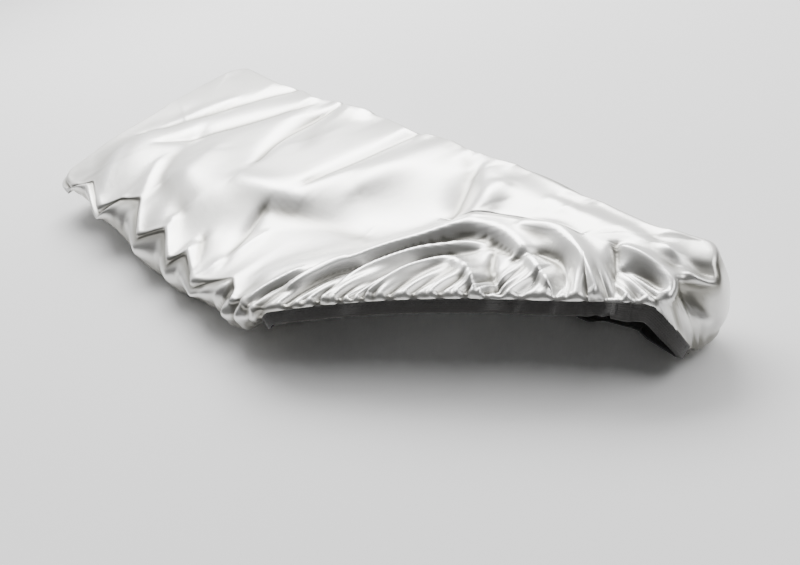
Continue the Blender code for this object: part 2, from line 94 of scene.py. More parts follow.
# How far the hem runs down the front and the right end before it is wrapped under. The wall is
# whole after a share of that run. The tuck starts after one share and takes another to be whole,
# and its curl is quicker than its length.
CLIMB_FRONT = 0.066
CLIMB_RIGHT = 0.040
BEND_LEAD = 0.014
WALL_WHOLE_FRONT = 0.9
WALL_WHOLE_RIGHT = 0.8
TUCK_FROM_FRONT = 0.05
TUCK_OVER_FRONT = 0.7
TUCK_FROM_RIGHT = 0.5
TUCK_OVER_RIGHT = 0.5
CURL_QUICKER = 5.0

# The line inside the top that the rows of the sheet start from
SPINE_LEFT = -0.262
SPINE_RIGHT = 0.285
SPINE_SWING = 0.080

# Pinches along the binding: short gathers at the open corner, wider pleats where it is tucked
# under. Width is a share of the pitch, and reach is up to so much more than its least. Depth and
# reach vary by chance. The hem itself is held straight, and slow waves run beside the gathers.
Pinch = namedtuple("Pinch", "pitch depth width reach more")
GATHER = Pinch(0.0115, 0.00546, 0.24, 0.014, 0.030)
PLEAT = Pinch(0.025, 0.0024, 0.30, 0.038, 0.024)
PITCH_SEED = 1.9
PITCH_UNEVEN = 0.5
REACH_SEED = 3.3
REACH_FALL = 1.6
DEPTH_SEED = 0.4
DEPTH_LEAST = 0.25
DEPTH_MORE = 1.1
HEM_HELD = 0.007
WAVE_HEIGHT = 0.00208
WAVE_REACH = 0.020
WAVE_START = 1.2
UNEVEN_WAVES = ((7, 1.0), (17, 2.3), (31, 4.1), (53, 0.7))
SCATTER = (12.9898, 78.233, 43.7585)

# The sheet's columns round the edge, and the rows at which its runs end between the spine and
# the hem: top, shoulder, wall, turn and tuck. At the open corner the top takes most of the rows,
# which crowd towards the hem. Pinches fade in over the first rows and the outer top.
COLUMNS = 960
TOP_ROW = 24
SHOULDER_ROW = 30
WALL_ROW = 40
TURN_ROW = 44
LAST_ROW = 50
OPEN_TOP_ROW = 44
OPEN_LIP_ROW = 49
OPEN_WALL_ROW = 49.4
OPEN_TURN_ROW = 49.7
OPEN_CROWDING = 1.5
SPINE_HELD_ROWS = 5.0
OUTER_QUICKER = 2.0
OUTER_AFTER = 0.8
ARC_STEPS = 24
SIDE_STEPS = 4001
WELD = 0.00002

# How much closer the columns lie towards the right end, and how far from its middle
FINER = 0.7
FINER_REACH = 0.43
FINER_FADE = 0.03

# The binding, a tape folded over the hem, and the section that it has there. It hangs the way
# that the cloth's last rows do.
BAND_WIDTH = 0.0100
BAND_HALF = 0.0013
BAND_STEP = 2
TAPE_FLAT_WIDTH = 0.024
HANG_ROWS = 5
HANG_SMOOTHINGS = 24
LIP_OVER_CLOTH = 0.0012
LIP_THINNER = 0.0002
GROOVE_PLAY = 0.0001
GROOVE_DEEP = 0.0006
RIB_PITCH = 0.0013
RIB_HEIGHT = 0.00012
RIB_POINTS = 4.0
PLAIN_EDGE = 0.001
FOLD_ROUND = 0.0005
FOLD_THINNER = 0.8

# Its lapped join, and the wider stretch of tape past that
TAPE_JOIN = (0.350, 0.046, 0.008)
JOIN_COLUMNS = 12
JOIN_FLAT_LENGTH = 0.022
JOIN_WIDER = 0.0026
JOIN_THICKER = 0.0007
WIDE_COLUMNS = 30
WIDE_MORE = 0.0022

# Its stitches: a row under the hem and a bar across the join
THREAD = 0.0007
STITCH_PITCH = 0.0040
STITCH_SHARE = 0.72
STITCH_DOWN = 0.0024
BAR_STITCHES = 9
BAR_COLUMN = 3
BAR_TOP = 0.0012
BAR_FOOT = 0.0008
BAR_PROUD = 0.0008
BAR_STITCH = 0.0026

# The cloth before it was gathered, and what counts as a full fold in its painted shade and
# highlight
CLOTH_FLAT = (0.96, 0.45)
CREASE_SMOOTHINGS = 12
CREASE_FULL = 0.0016

# Painted shade in the cloth's colour: on the walls below the edge, most in the hollows of the
# front edge by how far the wall slopes in under it, and on the loose corner near its hem, where
# it turns to painted light towards the right
HOLLOW_SHADE = 0.38
HOLLOW_FROM = -0.002
HOLLOW_OVER = 0.016
HOLLOW_LEAST = 0.3
HOLLOW_FADE = 0.3
HOLLOW_QUICKER = 1.6
HOLLOW_AFTER = 0.5
LOOSE_SHADE = 0.34
LOOSE_TURN = 1.8
LOOSE_REACH = 0.065

# Finishes: colours at their places on a ramp, thread pitches and bump depths in metres, and how
# far the cloth's threads shift along and across for each metre of height
SILVER_METAL = 0.9
SILVER_ROUGHNESS = (0.26, 0.38)
SILVER_WRINKLE = 0.00012
SILVER_WEAVE = 0.00001
REVERSE_WEAVE = 0.0001
CLOTH_PITCH = 0.0009
WALL_WAY_ALONG = 0.31
WALL_WAY_ACROSS = 0.83
TAPE_PITCH = 0.0011
TAPE_ROUGHNESS = (0.66, 0.9)
TAPE_WEAVE = 0.00015
THREAD_TWIST = 0.0001
# The silver ramp: painted shade in troughs and hollows, the cloth's own colour, and painted
# highlight on ridges
SILVER_SHADING_STOPS = ((0.05, (0.36, 0.352, 0.32)), (0.42, (0.74, 0.734, 0.705)),
                (0.9, (0.86, 0.856, 0.838)))
REVERSE_STOPS = ((0.3, (0.44, 0.44, 0.43)), (0.7, (0.52, 0.52, 0.51)))
# The charcoal ramp runs from painted shade between the tape's threads to their lighter crests
CHARCOAL_STOPS = ((0.1, (0.013, 0.0125, 0.012)), (0.9, (0.048, 0.046, 0.044)))
THREAD_STOPS = ((0.3, (0.02, 0.02, 0.02)), (0.7, (0.05, 0.05, 0.05)))
FLOOR_STOPS = ((0.3, (0.93, 0.93, 0.93)), (0.7, (0.96, 0.96, 0.96)))

# The camera of the photograph
VIEW_PLACE = (0.84163, -0.37217, 0.44296)
VIEW_FORWARD = (-0.76004, 0.39768, -0.51399)
VIEW_RIGHT = (0.56439, 0.79602, -0.21869)
VIEW_LENS = 48.43

# The floor, just under the lowest edge of the cover
FLOOR = -0.0585
FLOOR_SIZE = 12.0

# Lights in metres and watts, and the brightness of the surroundings
Lamp = namedtuple("Lamp", "name x y z wide deep power")
LAMPS = (
    Lamp("behind", -1.10, 0.65, 1.25, 1.7, 0.9, 58.0),
    Lamp("overhead", 1.00, 0.75, 1.30, 1.2, 0.9, 14.0),
)
SKY_BRIGHT_WAY = (-0.76, 0.42, 0.42)
SKY_BRIGHT = 2.0
SKY_BRIGHT_FROM = 0.35
SKY_DIM = 0.14

MM = 0.001

# A fold on the top runs from one plan point to another, bowed sideways. A positive height
# is a ridge, a negative one a trough. Sizes in millimetres, and the higher its edge number the
# more suddenly it ends at its sides. It has FOLD_ENDS of its width and height at either end.
Fold = namedtuple("Fold", "x0 y0 x1 y1 bow width height edge")
TOP_FOLDS = (
    Fold(-372, -92, -330, 20, 10, 40, -3.5, 2.0),
    Fold(-240, -128, -330, -20, 6, 34, 5.0, 1.8),
    Fold(-190, -100, -262, 10, 4, 22, -3.5, 1.8),
    Fold(-130, -110, -190, -10, 6, 30, 4.0, 1.8),
    Fold(-345, -30, -235, 128, -6, 12, -4.0, 1.5),
    Fold(-330, -6, -290, 70, -4, 12, 2.5, 1.8),
    Fold(-285, -30, -175, 108, -8, 13, -4.5, 1.5),
    Fold(-240, -138, -335, -60, 4, 12, 3.0, 1.5),
    Fold(-142, -134, -245, -50, 8, 13, 3.5, 1.5),
    Fold(-64, -136, -120, -96, 2, 10, 3.5, 1.5),
    Fold(-4, -138, -62, -104, 2, 9, 3.5, 1.5),
    Fold(-8, -132, 2, -56, -2, 10, 3.0, 1.6),
    Fold(4, -104, -30, -34, 4, 9, -3.5, 1.5),
    Fold(-62, -92, -22, -128, 2, 8, -3.0, 1.5),
    Fold(-112, 4, -134, 126, 16, 11, -6.0, 1.4),
    Fold(-150, 96, -92, 58, 0, 26, -4.0, 2.0),
    Fold(-155, 136, -75, 118, 0, 12, 4.0, 1.8),
    Fold(-16, 4, 14, 130, -6, 11, -4.0, 1.5),
    Fold(-104, -24, 4, -8, -4, 14, 3.0, 1.7),
    Fold(-30, -36, 100, -8, 4, 15, -3.0, 1.7),
    Fold(-196, -70, -120, -86, 0, 20, -3.5, 2.0),
    Fold(128, 104, 160, 46, 2, 14, -4.0, 1.7),
    Fold(176, 96, 182, 56, 0, 16, 3.5, 1.9),
    Fold(104, 112, 156, 50, 4, 15, -4.5, 1.6),
    Fold(140, 104, 190, 70, 0, 16, 3.5, 1.8),
    Fold(160, 132, 250, 110, -4, 20, -4.0, 1.8),
    Fold(250, 126, 330, 112, 0, 16, -3.0, 1.8),
    Fold(230, 100, 330, 104, 0, 14, 2.5, 1.8),
    Fold(358, 98, 396, 116, 0, 6, -2.5, 1.5),
    Fold(60, 120, 40, 30, 4, 24, 3.0, 2.0),
    Fold(120, -20, 60, -96, 6, 18, 4.0, 2.0),
    Fold(352, 100, 392, 122, 0, 8, -2.5, 1.5),
)
FOLD_ENDS = 0.45
FOLD_PAST = 0.8
FOLDS_HELD = 0.008

# A long fold of the loose corner runs through five plan points. It falls off over one width on
# its back side and another on its front side, which is nearer the hem.
Drape = namedtuple("Drape", "x0 y0 x1 y1 x2 y2 x3 y3 x4 y4 back front height")
DRAPES = (
    Drape(121, -96, 136, -18, 176, 44, 232, 54, 306, 26, 13, 7, 8.5),
    Drape(143, -96, 142, -42, 158, 12, 198, 42, 250, 38, 5, 6, -6.5),
    Drape(160, -98, 157, -40, 171, 3, 196, 28, 222, 40, 6, 5, 6.5),
    Drape(182, -78, 176, -30, 183, 0, 197, 19, 218, 30, 5, 6, -6.5),
    Drape(192, -62, 194, -29, 208, 6, 238, 4, 270, -14, 7, 5, 6.5),
    Drape(232, 34, 244, 22, 258, 12, 272, 4, 286, -6, 5, 6, -6.0),
    Drape(230, 64, 262, 75, 300, 64, 330, 48, 354, 32, 10, 7, 7.5),
    Drape(256, 32, 270, 52, 290, 54, 308, 42, 320, 30, 6, 6, -6.0),
    Drape(314, 88, 325, 75, 336, 63, 346, 52, 358, 38, 6, 6, -6.5),
    Drape(318, 86, 343, 89, 366, 85, 384, 72, 392, 60, 9, 8, 7.0),
    Drape(334, 72, 346, 76, 356, 78, 366, 76, 374, 70, 7, 8, -5.0),
    Drape(340, 108, 362, 104, 380, 96, 390, 86, 396, 76, 8, 7, 5.0),
    Drape(112, -124, 113, -104, 117, -84, 121, -62, 128, -40, 6, 5, 5.0),
    Drape(99, -122, 100, -106, 104, -92, 108, -78, 112, -64, 4, 5, -5.0),
    Drape(88, -122, 90, -108, 94, -96, 98, -84, 100, -72, 5, 5, 4.5),
    Drape(132, -112, 131, -92, 132, -74, 136, -56, 142, -40, 5, 4, -5.0),
)
DRAPE_STEPS = 32
DRAPE_SMOOTHINGS = 8
DRAPE_EDGE = 1.5
DRAPE_ENDS = 0.3

# How far the edge of the top stands out from the plan and how far it droops, round the
# outline. Where it stands in, the wall below it slopes out. Places are millimetres along the
# outline from the middle of the right end, with the clock where negative.
Turn = namedtuple("Turn", "place stand droop")
EDGE_TURNS = (
    Turn(-1000, 0, 0), Turn(-940, 1, 0), Turn(-905, -1, 0), Turn(-880, 1, 0), Turn(-846, 3, 4),
    Turn(-812, -12, 0), Turn(-750, 5, 4), Turn(-733, -15, 0), Turn(-704, -27, 0),
    Turn(-650, 3, 3), Turn(-618, -18, 0), Turn(-573, 4, 4), Turn(-557, -12, 0), Turn(-513, 6, 5),
    Turn(-466, -16, 0), Turn(-440, 0, 6), Turn(-424, -5, 2), Turn(-410, 2, 4), Turn(-396, 0, 2),
    Turn(-380, 0, 0),
    Turn(40, 0, 0), Turn(58, 3, 2), Turn(72, -4, 0), Turn(88, -14, 0), Turn(107, 7, 5),
    Turn(120, 2, 0), Turn(142, 9, 2), Turn(164, 2, 0), Turn(190, -3, 0), Turn(244, 3, 5),
    Turn(276, -5, 0), Turn(330, 3, 5), Turn(366, -4, 0), Turn(430, -1, 2), Turn(470, 4, 6),
    Turn(506, -6, 0), Turn(556, 3, 5), Turn(610, -4, 0), Turn(664, 5, 6), Turn(690, -7, 0),
    Turn(738, 4, 5), Turn(776, -5, 0), Turn(840, 1, 2), Turn(872, 4, 3), Turn(900, -3, 0),
    Turn(930, 2, 1),
)

# How much higher and further out than elsewhere the cloth turns under, at places as above
Under = namedtuple("Under", "place rise out")
UNDER_LINE = (
    Under(-1000, 8, 0), Under(-905, 15, 0), Under(-843, 21, 2), Under(-773, 17, 4),
    Under(-696, 8, 6), Under(-659, 2, 7), Under(-625, -2, 7), Under(-579, -4, 6),
    Under(-550, 0, 5), Under(-510, 7, 4), Under(-470, 9, 3), Under(-440, 1, 3),
    Under(-405, 4, 0), Under(-360, 12, 0), Under(-60, 10, 0), Under(0, 9, 0),
    Under(60, 8, 0), Under(120, 2, 0), Under(160, 0, 0), Under(860, 0, 0), Under(940, 4, 0),
)

# Creases over the edge of the top, from one place and depth down the cloth to another, in
# millimetres. Depth is measured along the cloth from where the top starts to turn down.
EDGE_CREASES = (
    Fold(-700, 12, -716, 50, -2, 20, -1.6, 1.8),
    Fold(-606, 12, -618, 52, -2, 16, -1.6, 1.8),
    Fold(-548, 18, -562, 54, 2, 12, 1.4, 1.8),
    Fold(-500, 12, -510, 50, 1, 9, -1.4, 1.7),
    Fold(-464, 10, -478, 46, 1, 6, 2.4, 1.5),
    Fold(-453, 6, -465, 46, 1, 5, -4.0, 1.5),
    Fold(-441, 2, -452, 46, 1, 5, 3.8, 1.5),
    Fold(-430, 0, -438, 44, 1, 4, -4.4, 1.5),
    Fold(-419, -4, -425, 42, 1, 4, 4.0, 1.5),
    Fold(-409, -4, -412, 38, 1, 4, -4.2, 1.5),
    Fold(-399, -4, -400, 30, 1, 4, 2.6, 1.5),
    Fold(96, 8, 100, 34, 3, 8, -5.0, 1.6),
    Fold(72, -6, 82, 24, 2, 6, 3.0, 1.5),
    Fold(60, 6, 66, 34, 2, 6, -3.0, 1.5),
    Fold(20, 8, 10, 40, 2, 9, -3.0, 1.6),
    Fold(40, 4, 34, 36, 2, 8, 2.5, 1.6),
    Fold(180, 8, 196, 58, 3, 16, -2.2, 1.7),
    Fold(262, 6, 250, 60, -3, 14, -2.6, 1.7),
    Fold(352, 10, 366, 60, 3, 18, 2.2, 1.7),
    Fold(418, 4, 408, 56, -2, 13, -2.4, 1.7),
    Fold(498, 8, 512, 60, 3, 15, -2.6, 1.7),
    Fold(590, 6, 578, 58, -3, 16, 2.2, 1.7),
    Fold(676, 8, 690, 60, 3, 13, -2.8, 1.7),
    Fold(770, 10, 760, 56, -2, 16, -2.2, 1.7),
    Fold(925, 8, 932, 44, 2, 14, -1.8, 1.7),
    Fold(980, 8, 972, 42, -2, 12, 1.8, 1.7),
)
EDGE_SOFTNESS = 0.003
EDGE_SAMPLES = 9


def mix(low, high, share):
    """The value at a share of the way from low to high."""
    return low + (high - low) * share


def ease(share):
    """A share held between 0 and 1, with soft ends."""
    share = np.clip(share, 0.0, 1.0)
    return share * share * (3.0 - 2.0 * share)


def unit(vectors):
    """The same ways, each one long."""
    return vectors / np.linalg.norm(vectors, axis=-1, keepdims=True)


def even_out(values):
    """Each column's values drawn towards its neighbours', all round the edge."""
    return (np.roll(values, 1, axis=0) + 2.0 * values + np.roll(values, -1, axis=0)) / 4.0


def outline(count):
    """Points, outward directions and distance round the plan, from the right end's middle."""
    xs = [np.array([LENGTH / 2])]
    ys = [np.array([0.0])]
    angles = [np.array([0.0])]
    for quarter, (side_x, side_y) in enumerate(((1, 1), (-1, 1), (-1, -1), (1, -1))):
        angle = np.radians(90.0 * quarter + np.linspace(0.0, 90.0, ARC_STEPS))
        xs.append(side_x * (LENGTH / 2 - CORNER_RADIUS) + CORNER_RADIUS * np.cos(angle))
        ys.append(side_y * (WIDTH / 2 - CORNER_RADIUS) + CORNER_RADIUS * np.sin(angle))
        angles.append(angle)
    xs.append(np.array([LENGTH / 2]))
    ys.append(np.array([0.0]))
    angles.append(np.array([math.tau]))
    x, y, angle = (np.concatenate(part) for part in (xs, ys, angles))
    run = np.concatenate(([0.0], np.cumsum(np.hypot(np.diff(x), np.diff(y)))))
    steps = np.linspace(0.0, run[-1], SIDE_STEPS)
    x, y, angle = (np.interp(steps, run, part) for part in (x, y, angle))
    run = steps
    away = np.minimum(run, run[-1] - run)
    fine = 1.0 + FINER * ease((FINER_REACH - away) / FINER_FADE)
    share = np.concatenate(([0.0], np.cumsum((fine[1:] + fine[:-1]) / 2.0 * np.diff(run))))
    place = np.interp(np.arange(count) / count * share[-1], share, run)
    angle = np.interp(place, run, angle)
    return SimpleNamespace(
        brim=np.stack([np.interp(place, run, x), np.interp(place, run, y)], 1),
        out=np.stack([np.cos(angle), np.sin(angle)], 1),
        around=np.where(place > run[-1] / 2, place - run[-1], place),
        total=run[-1])


def top_height(x, y):
    """Height of the taut top over a plan point."""
    across = np.clip(2.0 * y / WIDTH, -1.0, 1.0)
    along = np.clip(2.0 * x / LENGTH, -1.0, 1.0)
    crown = TOP_CROWN * (1.0 - across ** 2) * (1.0 - along ** 4)
    line = mix(BACK_LINE_LEFT, BACK_LINE_RIGHT,
               ease((x + BACK_LINE_SWING) / (2.0 * BACK_LINE_SWING)))
    rise = BACK_RISE
    for swell in BACK_SWELLS:
        rise = rise + swell.height * np.exp(-((x - swell.place) / swell.reach) ** 2)
    rise = rise - BACK_FALL.height * ease((x - BACK_FALL.place) / BACK_FALL.reach)
    return TOP_RISE * y / WIDTH + crown + rise * ease((y - line) / BACK_DEEP)


def fold_height(fold, x, y):
    """Height that one fold adds over a plan point."""
    start = np.array((fold.x0, fold.y0)) * MM
    run = np.array((fold.x1, fold.y1)) * MM - start
    length = math.hypot(*run)
    along = ((x - start[0]) * run[0] + (y - start[1]) * run[1]) / length ** 2
    side = ((y - start[1]) * run[0] - (x - start[0]) * run[1]) / length
    inside = np.clip(along, 0.0, 1.0)
    past = (along - inside) * length
    side = side - fold.bow * MM * 4.0 * inside * (1.0 - inside)
    taper = mix(FOLD_ENDS, 1.0, np.sqrt(np.sin(math.pi * inside)))
    reach = np.hypot(side, past * FOLD_PAST) / (fold.width * MM * taper)
    return fold.height * MM * taper * np.exp(-reach ** fold.edge)


def drape_height(drape, x, y):
    """Height that one long fold of the loose corner adds over a plan point."""
    knots = np.array(drape[:10]).reshape(5, 2) * MM
    share = np.linspace(0.0, 4.0, DRAPE_STEPS + 1)
    course = np.stack([np.interp(share, range(5), knots[:, axis]) for axis in (0, 1)], 1)
    for _ in range(DRAPE_SMOOTHINGS):
        course[1:-1] = (course[:-2] + 2.0 * course[1:-1] + course[2:]) / 4.0
    nearest = np.full(np.shape(x), np.inf)
    along = np.zeros(np.shape(x))
    sign = np.zeros(np.shape(x))
    for step in range(DRAPE_STEPS):
        start = course[step]
        run = course[step + 1] - start
        inside = ((x - start[0]) * run[0] + (y - start[1]) * run[1]) / (run @ run)
        inside = np.clip(inside, 0.0, 1.0)
        off_x = x - start[0] - run[0] * inside
        off_y = y - start[1] - run[1] * inside
        distance = np.hypot(off_x, off_y)
        closer = distance < nearest
        nearest = np.where(closer, distance, nearest)
        along = np.where(closer, (step + inside) / DRAPE_STEPS, along)
        sign = np.where(closer, np.sign(off_y * run[0] - off_x * run[1]), sign)
    width = np.where(sign > 0.0, drape.back, drape.front) * MM
    taper = mix(DRAPE_ENDS, 1.0, np.sqrt(np.sin(math.pi * along)))
    return drape.height * MM * taper * np.exp(-(nearest / (width * taper)) ** DRAPE_EDGE)


def zigzag(plan):
    """How far the edge of the top stands out and droops at each column."""
    turns = np.array(sorted(EDGE_TURNS)) * MM
    places = np.concatenate((turns[:, 0] - plan.total, turns[:, 0], turns[:, 0] + plan.total))
    offsets = np.linspace(-1.0, 1.0, EDGE_SAMPLES) * EDGE_SOFTNESS
    return (np.mean([np.interp(plan.around + offset, places, np.tile(part, 3))
                     for offset in offsets], 0) for part in turns[:, 1:].T)


def under_line(plan):
    """How much higher and further out than elsewhere each column turns under."""
    under = np.array(UNDER_LINE) * MM
    return (np.interp(plan.around, under[:, 0], part, period=plan.total)
            for part in under[:, 1:].T)


def uneven(place, total, seed):
    """A smooth uneven number about 0, within 1, that closes round the edge."""
    turn = math.tau * place / total
    waves = sum(np.sin(times * turn + shift * seed) for times, shift in UNEVEN_WAVES)
    return waves / len(UNEVEN_WAVES)


def chance(index, seed):
    """An uneven number from 0 to 1 for each whole number, the same every time."""
    return np.modf(np.abs(np.sin(index * SCATTER[0] + seed * SCATTER[1])) * SCATTER[2])[0]


def hem_course(plan):
    """Where the hem cuts each column, and how far each column is wrapped under."""
    left = np.array(HEM_LEFT)
    chord = np.array(HEM_RIGHT) - left
    length = math.hypot(*chord)
    chord = chord / length
    forward = np.array((chord[1], -chord[0]))
    spine_x = np.clip(plan.brim[:, 0], SPINE_LEFT, SPINE_RIGHT)
    spine = np.stack([spine_x, SPINE_SWING * ease(spine_x / SPINE_RIGHT)], 1)
    lip_edge = plan.brim - plan.out * LIP_RADIUS
    behind = (spine - left) @ forward + LIP_RADIUS
    beyond = (lip_edge - left) @ forward + LIP_RADIUS
    is_open = (beyond > 0.0) & (plan.brim[:, 0] > 0.0)
    cut = np.where(is_open, -behind / np.where(is_open, beyond - behind, 1.0), 1.0)
    first = plan.around[is_open].min() + BEND_LEAD
    last = plan.around[is_open].max() - BEND_LEAD
    from_front = np.clip((first - plan.around) / CLIMB_FRONT, 0.0, 1.0)
    from_right = np.clip((plan.around - last) / CLIMB_RIGHT, 0.0, 1.0)
    walled = ease(np.maximum(from_front / WALL_WHOLE_FRONT, from_right / WALL_WHOLE_RIGHT))
    tucked = ease(np.maximum((from_front - TUCK_FROM_FRONT) / TUCK_OVER_FRONT,
                             (from_right - TUCK_FROM_RIGHT) / TUCK_OVER_RIGHT))
    return SimpleNamespace(
        left=left, chord=chord, length=length, forward=forward, spine=spine, cut=cut,
        wrapped=np.maximum(from_front, from_right), walled=walled, tucked=tucked)


def row_shares(walled):
    """Share of each run that each row has covered: top, shoulder, wall, turn and tuck."""
    row = np.arange(LAST_ROW + 1)[None, :]
    marks = [np.zeros(COLUMNS)]
    for closed, opened in ((TOP_ROW, OPEN_TOP_ROW), (SHOULDER_ROW, OPEN_LIP_ROW),
                           (WALL_ROW, OPEN_WALL_ROW), (TURN_ROW, OPEN_TURN_ROW)):
        marks.append(mix(opened, closed, walled))
    marks.append(np.full(COLUMNS, float(LAST_ROW)))
    shares = []
    for start, end in zip(marks[:-1], marks[1:]):
        shares.append(np.clip((row - start[:, None]) / (end - start)[:, None], 0.0, 1.0))
    shares[0] = 1.0 - (1.0 - shares[0]) ** mix(1.0, OPEN_CROWDING, 1.0 - walled)[:, None]
    return shares


def smooth_cover(plan, hem):
    """The cover without folds: places, heights, the way each point faces, runs left, and the
    painted shade on its walls.
    """
    shoulder = mix(LIP_RADIUS, SHOULDER_RADIUS, hem.walled)
    turn = mix(TURN_LEAST, TURN_RADIUS, hem.tucked)
    stand, droop = zigzag(plan)
    stand = stand * hem.walled
    edge = plan.brim + plan.out * (stand - shoulder)[:, None]
    rise, belly = under_line(plan)
    down = top_height(edge[:, 0], edge[:, 1]) - shoulder - turn - BOTTOM - rise
    wall = mix(LIP_DROP, np.maximum(down, LIP_DROP), hem.walled)
    tuck = mix(TUCK_LEAST, TUCK, hem.tucked)
    curl = math.pi / 2 * ease(hem.tucked * CURL_QUICKER)[:, None]
    on_top, on_shoulder, on_wall, on_turn, on_tuck = row_shares(hem.walled)
    slant = belly * hem.walled - stand
    slope = np.arctan2(slant, wall)
    lean = on_shoulder * (math.pi / 2 - slope)[:, None]
    roll = on_turn * curl
    out = unit(mix(hem.forward[None, :], plan.out, hem.walled[:, None]))
    inward = unit(hem.spine - edge)
    level = hem.spine + (edge - hem.spine) * hem.cut[:, None]
    top = hem.spine[:, None, :] + (level - hem.spine)[:, None, :] * on_top[..., None]
    sideways = (shoulder[:, None] * np.sin(lean) - turn[:, None] * (1.0 - np.cos(roll))
                + slant[:, None] * on_wall)
    under = tuck[:, None] * on_tuck
    place = (top + out[:, None, :] * sideways[..., None]
             + inward[:, None, :] * (under * np.sin(curl))[..., None])
    drop = (shoulder[:, None] * (1.0 - np.cos(lean))
            + (wall + shoulder * np.sin(slope))[:, None] * on_wall
            + turn[:, None] * np.sin(roll) + under * np.cos(curl))
    tilt = lean + roll
    droop = np.minimum(droop, DROOP_MOST * wall) * hem.walled
    left = np.linalg.norm(top - level[:, None, :], axis=2)
    drop = drop + droop[:, None] * np.exp(-(left / DROOP_REACH) ** DROOP_FALL) * (1.0 - on_wall)
    # Painted shade on the walls below the shoulder, deepest where the wall slopes in under the
    # edge
    sloped = np.clip((slant - HOLLOW_FROM) / HOLLOW_OVER, 0.0, 1.0)[:, None]
    below = ease(on_shoulder * HOLLOW_QUICKER - HOLLOW_AFTER) * hem.walled[:, None]
    return SimpleNamespace(
        top=top, place=place, height=top_height(top[..., 0], top[..., 1]) - drop,
        outer=ease(on_top * OUTER_QUICKER - OUTER_AFTER),
        facing=np.concatenate([out[:, None, :] * np.sin(tilt)[..., None],
                               np.cos(tilt)[..., None]], 2),
        on_shoulder=on_shoulder, on_wall=on_wall, on_turn=on_turn,
        run_left=(left
                  + (1.0 - on_shoulder) * shoulder[:, None] * math.pi / 2
                  + (1.0 - on_wall) * wall[:, None]
                  + (1.0 - on_turn) * turn[:, None] * math.pi / 2
                  + (1.0 - on_tuck) * tuck[:, None]),
        painted_wall_shade=(sloped * (1.0 - HOLLOW_FADE * on_wall) + HOLLOW_LEAST) * below,
        depth=(on_shoulder * shoulder[:, None] * math.pi / 2 + on_wall * wall[:, None]
               + on_turn * turn[:, None] * math.pi / 2
               - left))


def corner_lift(cover, hem):
    """The loose corner stands above the taut top."""
    away = np.maximum(-(cover.top - hem.left) @ hem.forward - LIP_RADIUS, 0.0)
    share = (cover.top - hem.left) @ hem.chord / hem.length
    inside = np.clip(share, 0.0, 1.0)
    lift = (LIFT_LEFT * (1.0 - inside) * (1.0 - 2.0 * inside)
            + LIFT_MIDDLE * 4.0 * inside * (1.0 - inside)
            + LIFT_RIGHT * inside * (2.0 * inside - 1.0))
    lift = (lift * ease((share - LIFT_FROM) / LIFT_GROWS_OVER)
            * ease((LIFT_TO - share) / LIFT_ENDS_OVER))
    return lift * np.exp(-(away / LIFT_REACH) ** 2)


def gathers(cover, hem):
    """Short pinches at the open corner's binding, wider pleats elsewhere, and slow waves."""
    line = cover.place[:, -1, :]
    step = np.linalg.norm(np.roll(line, -1, axis=0) - line, axis=1)
    run = np.concatenate(([0.0], np.cumsum(step)[:-1]))
    pitch = mix(GATHER.pitch, PLEAT.pitch, ease(hem.wrapped))
    pitch = pitch * (1.0 + PITCH_UNEVEN * uneven(run, step.sum(), PITCH_SEED))
    phase = np.concatenate(([0.0], np.cumsum(step / pitch)))
    phase = phase[:-1] * round(phase[-1]) / phase[-1] * math.tau
    valley = np.round(phase / math.tau)
    beside = np.abs(phase / math.tau - valley) / mix(GATHER.width, PLEAT.width, hem.wrapped)
    luck = chance(valley, REACH_SEED)
    near = mix(GATHER.reach + GATHER.more * luck ** 2, PLEAT.reach + PLEAT.more * luck,
               hem.wrapped)
    depth = mix(GATHER.depth, PLEAT.depth, hem.wrapped)
    depth = depth * (DEPTH_LEAST + DEPTH_MORE * chance(valley, DEPTH_SEED)) * np.exp(-beside ** 2)
    left = cover.run_left
    reach = 1.0 - np.exp(-(left / HEM_HELD) ** 2)
    reach = reach * np.exp(-(left / near[:, None]) ** REACH_FALL)
    wave_reach = left / WAVE_REACH * np.exp(1.0 - left / WAVE_REACH)
    wave = WAVE_HEIGHT * np.sin(phase / 2.0 + WAVE_START) * (1.0 - hem.wrapped)
    return (wave[:, None] * wave_reach - depth[:, None] * reach) * cover.outer


def crease_depth(stand):
    """How far each point stands above or below the cloth round it, 0 to 1 with 0.5 level."""
    level = stand.copy()
    for _ in range(CREASE_SMOOTHINGS):
        level = even_out(level)
        level[:, 1:-1] = (level[:, :-2] + 2.0 * level[:, 1:-1] + level[:, 2:]) / 4.0
    return np.clip(0.5 + (stand - level) / CREASE_FULL / 2.0, 0.0, 1.0)


